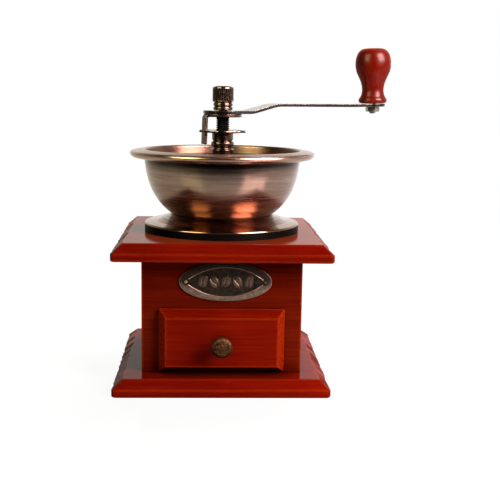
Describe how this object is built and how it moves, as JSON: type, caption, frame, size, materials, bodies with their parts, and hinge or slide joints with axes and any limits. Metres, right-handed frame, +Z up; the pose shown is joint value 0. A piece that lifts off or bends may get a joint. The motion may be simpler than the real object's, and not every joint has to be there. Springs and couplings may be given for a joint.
{
  "type": "burr coffee grinder",
  "caption": "Hand-cranked burr coffee grinder: lacquered wooden case with a drawer, copper hopper bowl, conical burr set on a threaded spindle, and a crank with a turned knob.",
  "frame": {"origin": "centre of the base board's underside, on the surface the grinder stands on", "axes": "+Z up along the spindle, -Y towards the drawer front, +X to the right as seen from the front"},
  "size_m": [0.1663, 0.12, 0.1936],
  "materials": {
    "red_lacquered_wood": "gloss red-brown lacquer over fine straight grain",
    "plain_wood": "bare beech, sanded",
    "antique_copper": "antiqued copper, brushed round the turning axis",
    "dark_bronze": "dark antiqued bronze with rubbed edges",
    "dark_arm_metal": "darkened steel strip, polished",
    "blackened_steel": "black oxide",
    "zinc_steel": "plain bright steel",
    "cast_iron": "rough casting",
    "brass": "satin brass"
  },
  "bodies": {
    "case": {"base_board": "red_lacquered_wood", "body_front": "red_lacquered_wood", "body_back": "red_lacquered_wood", "body_left": "red_lacquered_wood", "body_right": "red_lacquered_wood", "top_board": "red_lacquered_wood", "drawer_guide_left": "plain_wood", "drawer_guide_right": "plain_wood", "base_screw_1": "brass", "base_screw_2": "brass", "base_screw_3": "brass", "base_screw_4": "brass", "name_plate": "dark_bronze", "name_plate_pin_left": "brass", "name_plate_pin_right": "brass", "hopper_bowl": "antique_copper", "bowl_skirt": "antique_copper", "bridge": "blackened_steel", "bridge_bush": "brass", "bridge_screw_1": "zinc_steel", "bridge_screw_2": "zinc_steel", "burr_housing": "cast_iron", "outer_burr": "zinc_steel", "burr_retaining_ring": "blackened_steel", "housing_screw_1": "brass", "housing_screw_2": "brass", "housing_screw_3": "brass"},
    "crank": {"spindle_shaft": "blackened_steel", "inner_burr": "zinc_steel", "burr_washer": "zinc_steel", "burr_nut": "zinc_steel", "spring_collar": "zinc_steel", "burr_spring": "zinc_steel", "adjusting_nut": "dark_bronze", "locking_clip": "dark_bronze", "crank_nut": "dark_bronze", "crank_arm": "dark_arm_metal", "knob_bolt": "zinc_steel", "knob_lock_nut": "zinc_steel"},
    "knob": {"crank_knob": "red_lacquered_wood"},
    "drawer": {"drawer_front": "red_lacquered_wood", "drawer_side_left": "plain_wood", "drawer_side_right": "plain_wood", "drawer_back": "plain_wood", "drawer_floor": "plain_wood", "drawer_knob": "dark_bronze", "drawer_knob_screw": "zinc_steel"}
  },
  "joints": [
    {"name": "crank_turn", "type": "hinge", "parent": "case", "child": "crank", "pos_m": [0, 0, 0.12], "axis": [0, 0, 1], "continuous": true},
    {"name": "knob_spin", "type": "hinge", "parent": "crank", "child": "knob", "pos_m": [0.09567, 0.04563, 0.1592], "axis": [-0.0221, -0.0105, 0.9997], "continuous": true},
    {"name": "drawer_slide", "type": "slide", "parent": "case", "child": "drawer", "axis": [0, -1, 0], "range_m": [0, 0.06]}
  ]
}
